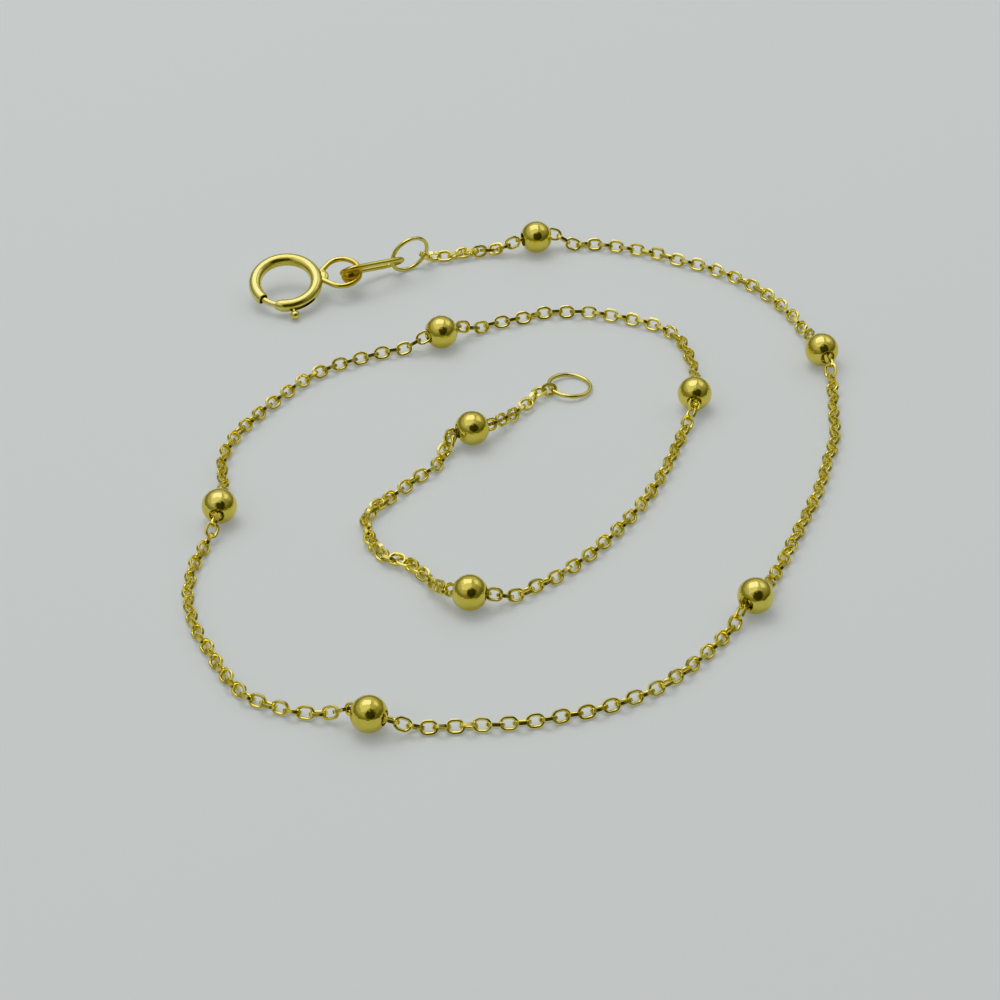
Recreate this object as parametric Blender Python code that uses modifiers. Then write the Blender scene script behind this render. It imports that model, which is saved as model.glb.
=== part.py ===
"""Chain anklet: a fine cable chain through round hollow beads, with a spring ring clasp and an end ring.

It lies unclasped on a flat surface at z = 0, wound into an open spiral. The front view looks along +Y,
with +X to the right. The origin is the middle of the footprint, on the surface. Lengths are in metres
and angles in degrees.
"""

import math

import bmesh
import bpy
from mathutils import Matrix, Vector

# Beads
BEAD_DIAMETER = 0.0025
BEAD_WALL = 0.0002
BEAD_SIDES = 16
BEAD_OUTER_STEPS = 8
BEAD_INNER_STEPS = 6

# Chain: a plain tube stands for the links between the two end links
LINK_LENGTH = 0.00127
LINK_WIDTH = 0.00098
LINK_WIRE = 0.0002
CHAIN_TUBE = 0.00076
CHAIN_CLEARANCE = 0.00014
CHAIN_STEP = 0.0019
CHAIN_MEET_GAP = 0.0003
BEAD_PORT_REACH = 0.0001

# Spring ring clasp, tilted so that its far side is raised
RING_OUTER = 0.0057
RING_TUBE = 0.00096
RING_BORE = 0.00072
CLASP_TILT = 16.0
OPENING_FROM = 225.0
OPENING_TO = 253.0
EYE_OUTER = 0.0032
EYE_WIRE = 0.00042
EYE_ANGLE = 12.5
EYE_NECK = 0.00016
SOLDER_WIDTH = 0.0011
SOLDER_THICKNESS = 0.0006
SOLDER_REACH = 0.0009

# Gate of the clasp: a curved wire in the ring's bore, with a knob on a stem that runs in a slot
GATE_WIRE = 0.00046
GATE_TIP_OVERLAP = 2.5
GATE_TAIL = 301.0
GATE_TRAVEL = 34.0
KNOB_ANGLE = 284.0
KNOB_DROP = 12.0
KNOB_DIAMETER = 0.00078
KNOB_GAP = 0.00008
STEM_DIAMETER = 0.0003
SLOT_CLEARANCE = 0.00006
SURFACE_CLEARANCE = 0.00002

# Oval link between the clasp's eye and the jump ring, with a lump of solder in its bend at the eye
OVAL_LENGTH = 0.0056
OVAL_WIDTH = 0.0023
OVAL_WIRE = 0.0004
OVAL_EYE_PLAY = 0.00094
OVAL_JUMP_PLAY = 0.0005
OVAL_OFFSET = 0.00015
OVAL_HEADING = 31.5
OVAL_ROLL = -42.0
OVAL_LUMP_LENGTH = 0.0011
OVAL_LUMP_WIDTH = 0.00088
OVAL_LUMP_SINK = 0.00022
EYE_HOOK_ANGLE = 15.0
JUMP_HOOK_ANGLE = 190.0

# Jump ring that stands at the clasp end, and end ring that lies at the other
JUMP_OUTER = 0.0034
JUMP_WIRE = 0.00031
JUMP_CENTRE = (-0.00863, 0.02597)
JUMP_FACING = (0.503, -0.839, -0.203)
JUMP_LINK_ANGLE = -28.0
END_RING_OUTER = 0.0034
END_RING_WIRE = 0.00031
END_RING_CENTRE = (0.00342, 0.00942)
END_RING_LINK_ANGLE = 208.0
END_LINK_LEAN = 12.0
LINK_PLAY = 0.0001

# How finely the round shapes are divided
RING_SEGMENTS = 24
BALL_SEGMENTS = 12
BALL_RINGS = 8
STEM_SIDES = 10
SLOT_STEPS = 6
OVAL_BEND_STEPS = 8
LINK_BEND_STEPS = 5
ARC_STEP = 8.0
CURVE_SAMPLES = 12
SIX_SIDES = 1
EIGHT_SIDES = 2
TWELVE_SIDES = 4
SHARP_EDGE = 50.0
BORE_OVERRUN = 6.0
WELD = 1e-7

# Where the beads lie, from the clasp end on, and the way that each bead's bore points there
BEADS = [
    ((0.0013, 0.0289), 18),
    ((0.0223, 0.0123), -72),
    ((0.0152, -0.0173), -128),
    ((-0.0105, -0.0290), 157),
    ((-0.0215, -0.0062), 84),
    ((-0.0061, 0.0155), 29),
    ((0.0125, 0.0068), -95),
    ((-0.0040, -0.0165), 173),
    ((-0.0038, 0.0028), 19),
]

# The chain's route on the surface: one row for each stretch between beads, from the clasp end on
CHAIN_ROUTE = [
    [(-0.0056, 0.0275), (-0.0040, 0.0280), (-0.0022, 0.0283)],
    [(0.0044, 0.0289), (0.0061, 0.0289), (0.0093, 0.0280), (0.0123, 0.0265), (0.0152, 0.0249),
     (0.0179, 0.0225), (0.0199, 0.0197), (0.0212, 0.0166)],
    [(0.0228, 0.0091), (0.0226, 0.0058), (0.0224, 0.0024), (0.0216, -0.0008), (0.0205, -0.0047),
     (0.0190, -0.0086), (0.0175, -0.0124), (0.0167, -0.0143)],
    [(0.0133, -0.0200), (0.0111, -0.0230), (0.0087, -0.0255), (0.0056, -0.0274), (0.0023, -0.0285),
     (-0.0011, -0.0292), (-0.0046, -0.0294), (-0.0072, -0.0295)],
    [(-0.0138, -0.0280), (-0.0158, -0.0276), (-0.0181, -0.0264), (-0.0196, -0.0247), (-0.0210, -0.0219),
     (-0.0224, -0.0188), (-0.0231, -0.0156), (-0.0230, -0.0123), (-0.0223, -0.0096)],
    [(-0.0215, -0.0027), (-0.0217, 0.0001), (-0.0211, 0.0031), (-0.0196, 0.0059), (-0.0174, 0.0091),
     (-0.0150, 0.0117), (-0.0119, 0.0134), (-0.0092, 0.0144)],
    [(-0.0032, 0.0172), (-0.0020, 0.0178), (0.0004, 0.0186), (0.0022, 0.0192), (0.0051, 0.0191),
     (0.0082, 0.0181), (0.0104, 0.0170), (0.0118, 0.0152), (0.0125, 0.0127), (0.0127, 0.0104)],
    [(0.0115, 0.0030), (0.0103, -0.0005), (0.0090, -0.0038), (0.0073, -0.0070), (0.0049, -0.0105),
     (0.0027, -0.0131), (0.0007, -0.0148), (-0.0008, -0.0159)],
    [(-0.0069, -0.0139), (-0.0082, -0.0123), (-0.0099, -0.0111), (-0.0108, -0.0095), (-0.0112, -0.0075),
     (-0.0109, -0.0061), (-0.0093, -0.0040), (-0.0079, -0.0023), (-0.0063, -0.0005), (-0.0058, 0.0011)],
    [(-0.0006, 0.0058), (0.0003, 0.0070)],
]
OUTER_STRETCHES = 5

BEAD_RADIUS = BEAD_DIAMETER / 2
BEAD_HOLE = CHAIN_TUBE + 2 * CHAIN_CLEARANCE
CHAIN_LIES = CHAIN_TUBE / 2 + SURFACE_CLEARANCE
RING_CENTRELINE = (RING_OUTER - RING_TUBE) / 2
EYE_CENTRELINE = (EYE_OUTER - EYE_WIRE) / 2
EYE_DISTANCE = RING_OUTER / 2 + EYE_NECK + EYE_CENTRELINE
KNOB_REACH = RING_TUBE / 2 + KNOB_GAP + KNOB_DIAMETER / 2
JUMP_CENTRELINE = (JUMP_OUTER - JUMP_WIRE) / 2
END_RING_CENTRELINE = (END_RING_OUTER - END_RING_WIRE) / 2
LINK_HALF = LINK_LENGTH / 2
LINK_RISE = (LINK_WIDTH - LINK_WIRE) / 2 * math.cos(math.radians(END_LINK_LEAN)) + LINK_WIRE / 2
END_RING_PROP = LINK_RISE + SURFACE_CLEARANCE - END_RING_WIRE / 2


def clear_scene():
    for obj in list(bpy.data.objects):
        bpy.data.objects.remove(obj, do_unlink=True)


def new_collection(name):
    collection = bpy.data.collections.new(name)
    bpy.context.scene.collection.children.link(collection)
    return collection


def gold(name, colour, roughness):
    made = bpy.data.materials.new(name)
    made.use_nodes = True
    shader = made.node_tree.nodes["Principled BSDF"]
    shader.inputs["Base Color"].default_value = (*colour, 1.0)
    shader.inputs["Metallic"].default_value = 1.0
    shader.inputs["Roughness"].default_value = roughness
    return made


def place(obj, collection, material=None):
    """Puts an object in one collection, with its material."""
    for old in list(obj.users_collection):
        old.objects.unlink(obj)
    collection.objects.link(obj)
    if material:
        obj.data.materials.clear()
        obj.data.materials.append(material)
    return obj


def smooth(obj):
    obj.data.shade_smooth()
    obj.data.set_sharp_from_angle(angle=math.radians(SHARP_EDGE))
    return obj


def helper(obj):
    """Marks a cutter or a shape that a Boolean joins, which isn't a piece by itself."""
    obj.hide_render = True
    obj.display_type = "WIRE"
    return place(obj, cutters)


def wire(name, points, diameter, closed=False, roundness=EIGHT_SIDES):
    """A round wire or tube along straight runs between the points."""
    curve = bpy.data.curves.new(name, "CURVE")
    curve.dimensions = "3D"
    curve.bevel_depth = diameter / 2
    curve.bevel_resolution = roundness
    curve.use_fill_caps = not closed
    spline = curve.splines.new("POLY")
    spline.points.add(len(points) - 1)
    for spot, point in zip(spline.points, points):
        spot.co = (*point, 1.0)
    spline.use_cyclic_u = closed
    made = bpy.data.objects.new(name, curve)
    anklet.objects.link(made)
    return made


def as_mesh(obj):
    """Turns a curve into a mesh with its caps welded on, in the curve's place."""
    name = obj.name
    bpy.context.view_layer.update()
    evaluated = obj.evaluated_get(bpy.context.evaluated_depsgraph_get())
    mesh = bpy.data.meshes.new_from_object(evaluated)
    shape = bmesh.new()
    shape.from_mesh(mesh)
    bmesh.ops.remove_doubles(shape, verts=shape.verts, dist=WELD)
    bmesh.ops.recalc_face_normals(shape, faces=shape.faces)
    shape.to_mesh(mesh)
    shape.free()
    matrix = obj.matrix_world.copy()
    bpy.data.objects.remove(obj, do_unlink=True)
    made = bpy.data.objects.new(name, mesh)
    made.matrix_world = matrix
    anklet.objects.link(made)
    return made


def boolean(target, other, operation):
    modifier = target.modifiers.new(other.name, "BOOLEAN")
    modifier.operation = operation
    modifier.object = helper(other)


def arc(radius, start, stop):
    """Points of a flat arc round the origin, from one angle to another."""
    count = max(2, math.ceil(abs(stop - start) / ARC_STEP))
    return [radius * way(start + (stop - start) * i / count) for i in range(count + 1)]


def stadium(length, width, wire_diameter, arc_steps):
    """Centreline of an oval link in its own XY plane, long along X."""
    bend = (width - wire_diameter) / 2
    straight = (length - wire_diameter) / 2 - bend
    points = []
    for side, first in ((1, -90), (-1, 90)):
        for i in range(arc_steps + 1):
            points.append(Vector((side * straight, 0.0, 0.0)) + bend * way(first + 180 * i / arc_steps))
    return points


def way(angle):
    """The level direction at an angle from +X."""
    return Vector((math.cos(math.radians(angle)), math.sin(math.radians(angle)), 0.0))


def axes_matrix(centre, along, across):
    """Places local X along one direction and local Y as near to the other as it can."""
    x = Vector(along).normalized()
    z = x.cross(Vector(across)).normalized()
    y = z.cross(x)
    matrix = Matrix((x, y, z)).transposed().to_4x4()
    matrix.translation = centre
    return matrix


def bead_profile():
    """Outer side from top to bottom, then the inner side back up, in the XZ half-plane."""
    hole = BEAD_HOLE / 2
    inner_radius = BEAD_RADIUS - BEAD_WALL
    points = []
    for radius, steps, down in ((BEAD_RADIUS, BEAD_OUTER_STEPS, 1), (inner_radius, BEAD_INNER_STEPS, -1)):
        rim = math.asin(hole / radius)
        for i in range(steps + 1):
            angle = rim + (math.pi - 2 * rim) * i / steps
            points.append(Vector((radius * math.sin(angle), 0.0, down * radius * math.cos(angle))))
    return points


def bead_mesh():
    mesh = bpy.data.meshes.new("bead")
    points = bead_profile()
    edges = [(i, (i + 1) % len(points)) for i in range(len(points))]
    mesh.from_pydata(points, edges, [])
    return mesh


def bead_centre(place_xy):
    return Vector((*place_xy, BEAD_RADIUS))


def add_beads():
    mesh = bead_mesh()
    for number, (place_xy, angle) in enumerate(BEADS, start=1):
        bead = bpy.data.objects.new(f"bead_{number}", mesh)
        bead.location = bead_centre(place_xy)
        bead.rotation_euler = way(angle).to_track_quat("Z", "Y").to_euler()
        place(bead, anklet, polished_gold)
        turn = bead.modifiers.new("turned", "SCREW")
        turn.steps = BEAD_SIDES
        turn.render_steps = BEAD_SIDES
        turn.use_merge_vertices = True
        turn.merge_threshold = WELD


def catmull_rom(points):
    """A smooth curve through all points but the first and last, which only steer its ends."""
    curve = [points[1]]
    for a, b, c, d in zip(points, points[1:], points[2:], points[3:]):
        for i in range(1, CURVE_SAMPLES + 1):
            t = i / CURVE_SAMPLES
            bend = (2 * a - 5 * b + 4 * c - d) * t**2 + (3 * b - a - 3 * c + d) * t**3
            curve.append((2 * b + (c - a) * t + bend) / 2)
    return curve


def even_steps(points, step):
    """The same path with points an equal way apart, both ends kept."""
    travelled = [0.0]
    for a, b in zip(points, points[1:]):
        travelled.append(travelled[-1] + (b - a).length)
    count = max(1, round(travelled[-1] / step))
    spaced = []
    leg = 0
    for i in range(count + 1):
        wanted = travelled[-1] * i / count
        while leg < len(points) - 2 and travelled[leg + 1] < wanted:
            leg += 1
        share = (wanted - travelled[leg]) / (travelled[leg + 1] - travelled[leg])
        spaced.append(points[leg].lerp(points[leg + 1], share))
    return spaced


def stretch(steer_in, start, middle, end, steer_out):
    """One stretch of chain: off its start, down to the surface, along its route and up to its end."""
    on_surface = [Vector((x, y, CHAIN_LIES)) for x, y in middle]
    path = even_steps(catmull_rom([steer_in, start, *on_surface, end, steer_out]), CHAIN_STEP)
    for point in path:
        point.z = max(point.z, CHAIN_LIES)
    return path


def jump_ring_matrix():
    """Local X is level, local Y is the way up in the ring's plane; the ring's lowest point is at z = 0."""
    facing = Vector(JUMP_FACING).normalized()
    level = Vector((0, 0, 1)).cross(facing).normalized()
    rise = facing.cross(level)
    height = JUMP_CENTRELINE * rise.z + JUMP_WIRE / 2
    return axes_matrix(Vector((*JUMP_CENTRE, height)), level, rise)


def end_ring_matrix():
    """Local X points at the last link, whose wire props the ring on that side."""
    towards = way(END_RING_LINK_ANGLE)
    tilt = math.asin(END_RING_PROP / (2 * END_RING_CENTRELINE))
    along = towards * math.cos(tilt) + Vector((0, 0, math.sin(tilt)))
    height = (END_RING_WIRE + END_RING_PROP) / 2
    return axes_matrix(Vector((*END_RING_CENTRE, height)), along, Vector((0, 0, 1)).cross(towards))


def link_on_ring(matrix, centreline, ring_wire, angle, lean):
    """The end link's centre, its way off the ring and its flat side, hooked over the ring's wire."""
    radial = matrix.to_3x3() @ way(angle)
    normal = matrix.to_3x3() @ Vector((0, 0, 1))
    hooked = matrix.translation + radial * centreline
    flat = Matrix.Rotation(math.radians(lean), 3, radial) @ normal
    offset = LINK_HALF - LINK_WIRE - ring_wire / 2 - LINK_PLAY
    return hooked + radial * offset, radial, flat


def end_link(name, centre, along, flat):
    path = stadium(LINK_LENGTH, LINK_WIDTH, LINK_WIRE, LINK_BEND_STEPS)
    link = wire(name, path, LINK_WIRE, closed=True, roundness=SIX_SIDES)
    link.matrix_world = axes_matrix(centre, along, flat)
    return as_mesh(link)


def add_chain():
    """Two tubes that meet inside a bead, each with a real link at its far end."""
    ports = []
    for place_xy, angle in BEADS:
        reach = way(angle) * (BEAD_RADIUS + BEAD_PORT_REACH)
        ports.append((bead_centre(place_xy) - reach, bead_centre(place_xy), bead_centre(place_xy) + reach))

    first, first_way, first_flat = link_on_ring(
        jump_ring_matrix(), JUMP_CENTRELINE, JUMP_WIRE, JUMP_LINK_ANGLE, 0.0
    )
    last, last_way, last_flat = link_on_ring(
        end_ring_matrix(), END_RING_CENTRELINE, END_RING_WIRE, 0.0, END_LINK_LEAN
    )
    tube_start = LINK_HALF - LINK_WIRE
    starts = [(first, first + first_way * tube_start)] + [(port[1], port[2]) for port in ports]
    ends = [(port[0], port[1]) for port in ports] + [(last + last_way * tube_start, last)]

    runs = []
    for (steer_in, start), middle, (end, steer_out) in zip(starts, CHAIN_ROUTE, ends):
        runs.append(stretch(steer_in, start, middle, end, steer_out))

    join_bead = BEADS[OUTER_STRETCHES - 1]
    join = bead_centre(join_bead[0])
    half_gap = way(join_bead[1]) * CHAIN_MEET_GAP / 2
    outer_path = [point for run in runs[:OUTER_STRETCHES] for point in run] + [join - half_gap]
    inner_path = [join + half_gap] + [point for run in runs[OUTER_STRETCHES:] for point in run]

    outer = as_mesh(wire("chain_outer", outer_path, CHAIN_TUBE))
    boolean(outer, end_link("first_link", first, first_way, first_flat), "UNION")
    smooth(place(outer, anklet, chain_gold))
    inner = as_mesh(wire("chain_inner", inner_path, CHAIN_TUBE))
    boolean(inner, end_link("last_link", last, last_way, last_flat), "UNION")
    smooth(place(inner, anklet, chain_gold))


def add_ring(name, matrix, centreline, ring_wire):
    bpy.ops.mesh.primitive_torus_add(
        major_radius=centreline,
        minor_radius=ring_wire / 2,
        major_segments=RING_SEGMENTS,
        minor_segments=BALL_RINGS,
    )
    ring = bpy.context.object
    ring.name = name
    ring.matrix_world = matrix
    smooth(place(ring, anklet, polished_gold))


def clasp_height():
    """High enough for the tilted ring, and the knob below its near side, to rest on the surface."""
    tilt = math.radians(CLASP_TILT)
    tube_drop = RING_CENTRELINE * math.sin(tilt) + RING_TUBE / 2
    knob = Matrix.Rotation(tilt, 3, "X") @ (knob_root() + knob_way() * KNOB_REACH)
    return max(tube_drop, KNOB_DIAMETER / 2 - knob.z) + SURFACE_CLEARANCE


def clasp_and_oval_places():
    """The clasp's centre and the oval link's matrix, strung from the jump ring by the link's length."""
    jump = jump_ring_matrix()
    jump_hook = jump @ (way(JUMP_HOOK_ANGLE) * JUMP_CENTRELINE)
    to_eye_hook = Matrix.Rotation(math.radians(CLASP_TILT), 3, "X") @ (
        way(EYE_ANGLE) * EYE_DISTANCE + way(EYE_HOOK_ANGLE) * EYE_CENTRELINE
    )
    between = OVAL_LENGTH - 2 * OVAL_WIRE - (EYE_WIRE + JUMP_WIRE) / 2 - OVAL_EYE_PLAY - OVAL_JUMP_PLAY
    climb = jump_hook.z - clasp_height() - to_eye_hook.z
    level_part = math.sqrt(between**2 - climb**2)
    along = (way(OVAL_HEADING) * level_part + Vector((0, 0, climb))) / between
    clasp_centre = jump_hook - along * between - to_eye_hook

    level_side = Vector((0, 0, 1)).cross(along).normalized()
    across = Matrix.Rotation(math.radians(OVAL_ROLL), 3, along) @ level_side
    reach = OVAL_LENGTH / 2 - OVAL_WIRE - JUMP_WIRE / 2 - OVAL_JUMP_PLAY
    return clasp_centre, axes_matrix(jump_hook - along * reach + across * OVAL_OFFSET, along, across)


def add_oval_link(matrix):
    path = stadium(OVAL_LENGTH, OVAL_WIDTH, OVAL_WIRE, OVAL_BEND_STEPS)
    link = as_mesh(wire("oval_link", path, OVAL_WIRE, closed=True))
    link.matrix_world = matrix
    smooth(place(link, anklet, polished_gold))

    lump_reach = (OVAL_LENGTH - OVAL_LUMP_LENGTH) / 2
    bpy.ops.mesh.primitive_uv_sphere_add(segments=BALL_SEGMENTS, ring_count=BALL_RINGS)
    lump = bpy.context.object
    lump.name = "oval_lump"
    lump.scale = (OVAL_LUMP_LENGTH / 2, OVAL_LUMP_WIDTH / 2, OVAL_LUMP_WIDTH / 2)
    lump.location = (-lump_reach, 0.0, -OVAL_LUMP_SINK)
    lump.parent = link
    boolean(link, lump, "UNION")


def eye_path():
    """A drop: a round eye whose straight sides run together at the ring's centreline."""
    centre = way(EYE_ANGLE) * EYE_DISTANCE
    side = 90.0 + math.degrees(math.asin(EYE_CENTRELINE / (EYE_DISTANCE - RING_CENTRELINE)))
    round_part = arc(EYE_CENTRELINE, EYE_ANGLE - side, EYE_ANGLE + side)
    return [way(EYE_ANGLE) * RING_CENTRELINE] + [centre + point for point in round_part]


def swept_slot(name, start, stop, outer, width):
    """A slab that sweeps round the clasp's axis, for cutting the slot along the tube's lower outer side."""
    drop = math.radians(KNOB_DROP)
    out = Vector((math.cos(drop), 0.0, -math.sin(drop)))
    side = Vector((-out.z, 0.0, out.x)) * width / 2
    middle = Vector((RING_CENTRELINE, 0.0, 0.0))
    shape = bmesh.new()
    corners = [middle + out * r + side * s for r, s in ((0.0, -1), (outer, -1), (outer, 1), (0.0, 1))]
    face = shape.faces.new([shape.verts.new(corner) for corner in corners])
    bmesh.ops.rotate(shape, verts=shape.verts, matrix=Matrix.Rotation(math.radians(start), 3, "Z"))
    turn = Matrix.Rotation(math.radians(stop - start) / SLOT_STEPS, 3, "Z")
    for step in range(SLOT_STEPS):
        grown = bmesh.ops.extrude_face_region(shape, geom=[face])["geom"]
        moved = [item for item in grown if isinstance(item, bmesh.types.BMVert)]
        bmesh.ops.rotate(shape, verts=moved, matrix=turn)
        if step > 0:
            bmesh.ops.delete(shape, geom=[face], context="FACES_ONLY")
        face = next(item for item in grown if isinstance(item, bmesh.types.BMFace))
    bmesh.ops.recalc_face_normals(shape, faces=shape.faces)
    mesh = bpy.data.meshes.new(name)
    shape.to_mesh(mesh)
    shape.free()
    made = bpy.data.objects.new(name, mesh)
    anklet.objects.link(made)
    return made


def knob_root():
    return way(KNOB_ANGLE) * RING_CENTRELINE


def knob_way():
    """Outwards from the tube's middle and a little down, where the stem and the slot run."""
    drop = math.radians(KNOB_DROP)
    return way(KNOB_ANGLE) * math.cos(drop) - Vector((0, 0, math.sin(drop)))


def add_clasp(centre):
    axis = bpy.data.objects.new("clasp_axis", None)
    axis.location = centre
    axis.rotation_euler = (math.radians(CLASP_TILT), 0.0, 0.0)
    anklet.objects.link(axis)
    add_clasp_body(axis)
    add_clasp_gate(axis)


def add_clasp_body(axis):
    body_to = OPENING_FROM + 360.0
    tube = arc(RING_CENTRELINE, OPENING_TO, body_to)
    body = as_mesh(wire("clasp_body", tube, RING_TUBE, roundness=TWELVE_SIDES))
    body.parent = axis
    smooth(place(body, anklet, polished_gold))

    eye = as_mesh(wire("clasp_eye", eye_path(), EYE_WIRE, closed=True))
    eye.parent = axis
    boolean(body, eye, "UNION")

    bpy.ops.mesh.primitive_uv_sphere_add(
        segments=BALL_SEGMENTS, ring_count=BALL_RINGS, location=way(EYE_ANGLE) * RING_OUTER / 2
    )
    solder = bpy.context.object
    solder.name = "solder"
    solder.scale = (SOLDER_REACH / 2, SOLDER_WIDTH / 2, SOLDER_THICKNESS / 2)
    solder.rotation_euler = (0.0, 0.0, math.radians(EYE_ANGLE))
    solder.parent = axis
    boolean(body, solder, "UNION")

    hollow = arc(RING_CENTRELINE, OPENING_TO - BORE_OVERRUN, body_to + BORE_OVERRUN)
    bore = as_mesh(wire("bore", hollow, RING_BORE))
    bore.parent = axis
    boolean(body, bore, "DIFFERENCE")

    margin = math.degrees((STEM_DIAMETER / 2 + SLOT_CLEARANCE) / RING_CENTRELINE)
    slot_end = KNOB_ANGLE + GATE_TRAVEL + margin
    slot = swept_slot("slot", KNOB_ANGLE - margin, slot_end, RING_TUBE, STEM_DIAMETER + 2 * SLOT_CLEARANCE)
    slot.parent = axis
    boolean(body, slot, "DIFFERENCE")


def add_clasp_gate(axis):
    tip = OPENING_FROM - GATE_TIP_OVERLAP
    gate = as_mesh(wire("clasp_gate", arc(RING_CENTRELINE, tip, GATE_TAIL), GATE_WIRE))
    gate.parent = axis
    smooth(place(gate, anklet, worn_gold))

    bpy.ops.mesh.primitive_cylinder_add(
        vertices=STEM_SIDES,
        radius=STEM_DIAMETER / 2,
        depth=KNOB_REACH,
        location=knob_root() + knob_way() * KNOB_REACH / 2,
        rotation=knob_way().to_track_quat("Z", "Y").to_euler(),
    )
    stem = bpy.context.object
    stem.name = "stem"
    stem.parent = axis
    boolean(gate, stem, "UNION")

    bpy.ops.mesh.primitive_uv_sphere_add(
        segments=BALL_SEGMENTS,
        ring_count=BALL_RINGS,
        radius=KNOB_DIAMETER / 2,
        location=knob_root() + knob_way() * KNOB_REACH,
    )
    knob = bpy.context.object
    knob.name = "knob"
    knob.parent = axis
    boolean(gate, knob, "UNION")


clear_scene()
anklet = new_collection("chain_anklet")
cutters = new_collection("cutters")
polished_gold = gold("polished_gold", (0.72, 0.62, 0.20), 0.18)
chain_gold = gold("chain_gold", (0.66, 0.57, 0.18), 0.24)
worn_gold = gold("worn_gold", (0.62, 0.52, 0.17), 0.30)

add_beads()
add_chain()
add_ring("jump_ring", jump_ring_matrix(), JUMP_CENTRELINE, JUMP_WIRE)
add_ring("end_ring", end_ring_matrix(), END_RING_CENTRELINE, END_RING_WIRE)
clasp_centre, oval_matrix = clasp_and_oval_places()
add_oval_link(oval_matrix)
add_clasp(clasp_centre)
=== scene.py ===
"""Looks of the chain anklet: its cable links, hollow beads, spring ring clasp and rings, in polished gold.

Lengths are in metres and angles in degrees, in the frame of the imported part. The sizes and places of the
rings, the beads and the chain's route repeat the part's source. Pieces with fine joins are shaped in
millimetres first, because Blender's voxels have a least size, and are scaled down when they are placed.
"""

import math
import random

import bmesh
import bpy
from mathutils import Matrix, Vector


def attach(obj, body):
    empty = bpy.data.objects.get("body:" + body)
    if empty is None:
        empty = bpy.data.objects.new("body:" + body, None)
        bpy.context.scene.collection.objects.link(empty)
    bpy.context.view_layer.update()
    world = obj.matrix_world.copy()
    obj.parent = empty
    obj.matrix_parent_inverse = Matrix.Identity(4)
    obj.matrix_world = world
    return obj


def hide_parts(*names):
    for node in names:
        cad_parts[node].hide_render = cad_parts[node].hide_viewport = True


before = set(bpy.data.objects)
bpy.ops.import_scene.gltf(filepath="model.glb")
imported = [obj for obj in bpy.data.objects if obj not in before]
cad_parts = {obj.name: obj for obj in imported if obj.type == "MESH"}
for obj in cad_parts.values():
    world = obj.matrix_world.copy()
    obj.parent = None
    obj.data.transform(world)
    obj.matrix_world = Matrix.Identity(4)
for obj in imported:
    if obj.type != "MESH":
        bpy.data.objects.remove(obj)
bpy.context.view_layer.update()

# Beads
BEAD_DIAMETER = 0.0025
BEAD_WALL = 0.0002
BEAD_HOLE = 0.00104
BEAD_SIDES = 72
BEAD_OUTER_STEPS = 40
BEAD_INNER_STEPS = 16
RIM_ROUNDING = 0.00006
RIM_STEPS = 6

# Chain links
LINK_LENGTH = 0.00127
LINK_WIDTH = 0.00098
LINK_WIRE = 0.0002
LINK_BEND_STEPS = 12
LINK_SIDES = 12
LINK_FLAT_ANGLE = 50.0
LINK_PLUMPNESS = 1.3
LINK_FLAT_SHIFT = 0.17
LINK_PITCH = 0.00086
LINK_REACH = 0.0004
LIES_BARE = 0.00002
PORT_REACH = 0.0001
PATH_SAMPLES = 24
PATH_STEP = 0.00008
OUTER_STRETCHES = 5

# How the links lie: they alternate either side of upright, with a slow twist and small unevenness
LINK_ROLL = 45.0
LINK_LEAN = 8.5
TWISTS = ((6.0, 0.0230, 1.0), (5.0, 0.0097, 2.2))
ROLL_UNEVEN = 5.0
YAW_UNEVEN = 3.0
SIDE_UNEVEN = 0.00002
END_BLEND_LINKS = 6
LAY_SEED = 11

# Where the chain is pushed together: stretch, from and to as shares of it, how much closer, how unruly
BUNCHES = (
    (0, 0.20, 0.80, 0.24, 0.8),
    (8, 0.00, 0.10, 0.34, 1.0),
    (8, 0.10, 0.34, 0.30, 0.8),
    (8, 0.34, 0.62, 0.36, 1.0),
    (8, 0.93, 1.00, 0.30, 1.0),
    (9, 0.00, 0.60, 0.14, 0.6),
)
BUNCH_ROLL = 34.0
BUNCH_YAW = 15.0
BUNCH_SIDE = 0.00016

# Spring ring clasp and its gate
RING_OUTER = 0.0057
RING_TUBE = 0.00096
RING_BORE = 0.00076
MOUTH_OUTER = 0.00066
MOUTH_BORE = 0.00052
MOUTH_TAPER = 16.0
MOUTH_OVERRUN = 10.0
BORE_OVERRUN = 6.0
CLASP_TILT = 16.0
OPENING_FROM = 225.0
OPENING_TO = 253.0
EYE_OUTER = 0.0032
EYE_WIRE = 0.00042
EYE_ANGLE = 12.5
EYE_NECK = 0.00016
EYE_ARM_SHARES = (0.25, 0.5, 0.75)
SOLDER_HALF_SIZES = (0.00052, 0.00062, 0.00022)
GATE_WIRE = 0.00046
GATE_TIP_OVERLAP = 2.5
GATE_TAIL = 301.0
GATE_TRAVEL = 34.0
KNOB_ANGLE = 284.0
KNOB_DROP = 12.0
KNOB_DIAMETER = 0.00078
KNOB_HEIGHT_SHARE = 0.86
KNOB_GAP = 0.00008
STEM_DIAMETER = 0.0003
SLOT_CLEARANCE = 0.00006
SURFACE_CLEARANCE = 0.00002

# Steps along and sides around the clasp's pieces, and the voxels and rounds of smoothing of the two pieces
# that are made into one skin
CLASP_STEPS = 160
CLASP_SIDES = 48
BORE_SIDES = 40
EYE_STEPS = 96
EYE_SIDES = 24
GATE_STEPS = 60
GATE_SIDES = 24
SLOT_STEPS = 24
BALL_SEGMENTS = 48
BALL_RINGS = 32
SKIN_SMOOTH_FACTOR = 0.5
CLASP_VOXEL_MM = 0.034
CLASP_SMOOTHING = 10
OVAL_VOXEL_MM = 0.028
OVAL_SMOOTHING = 5

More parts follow.
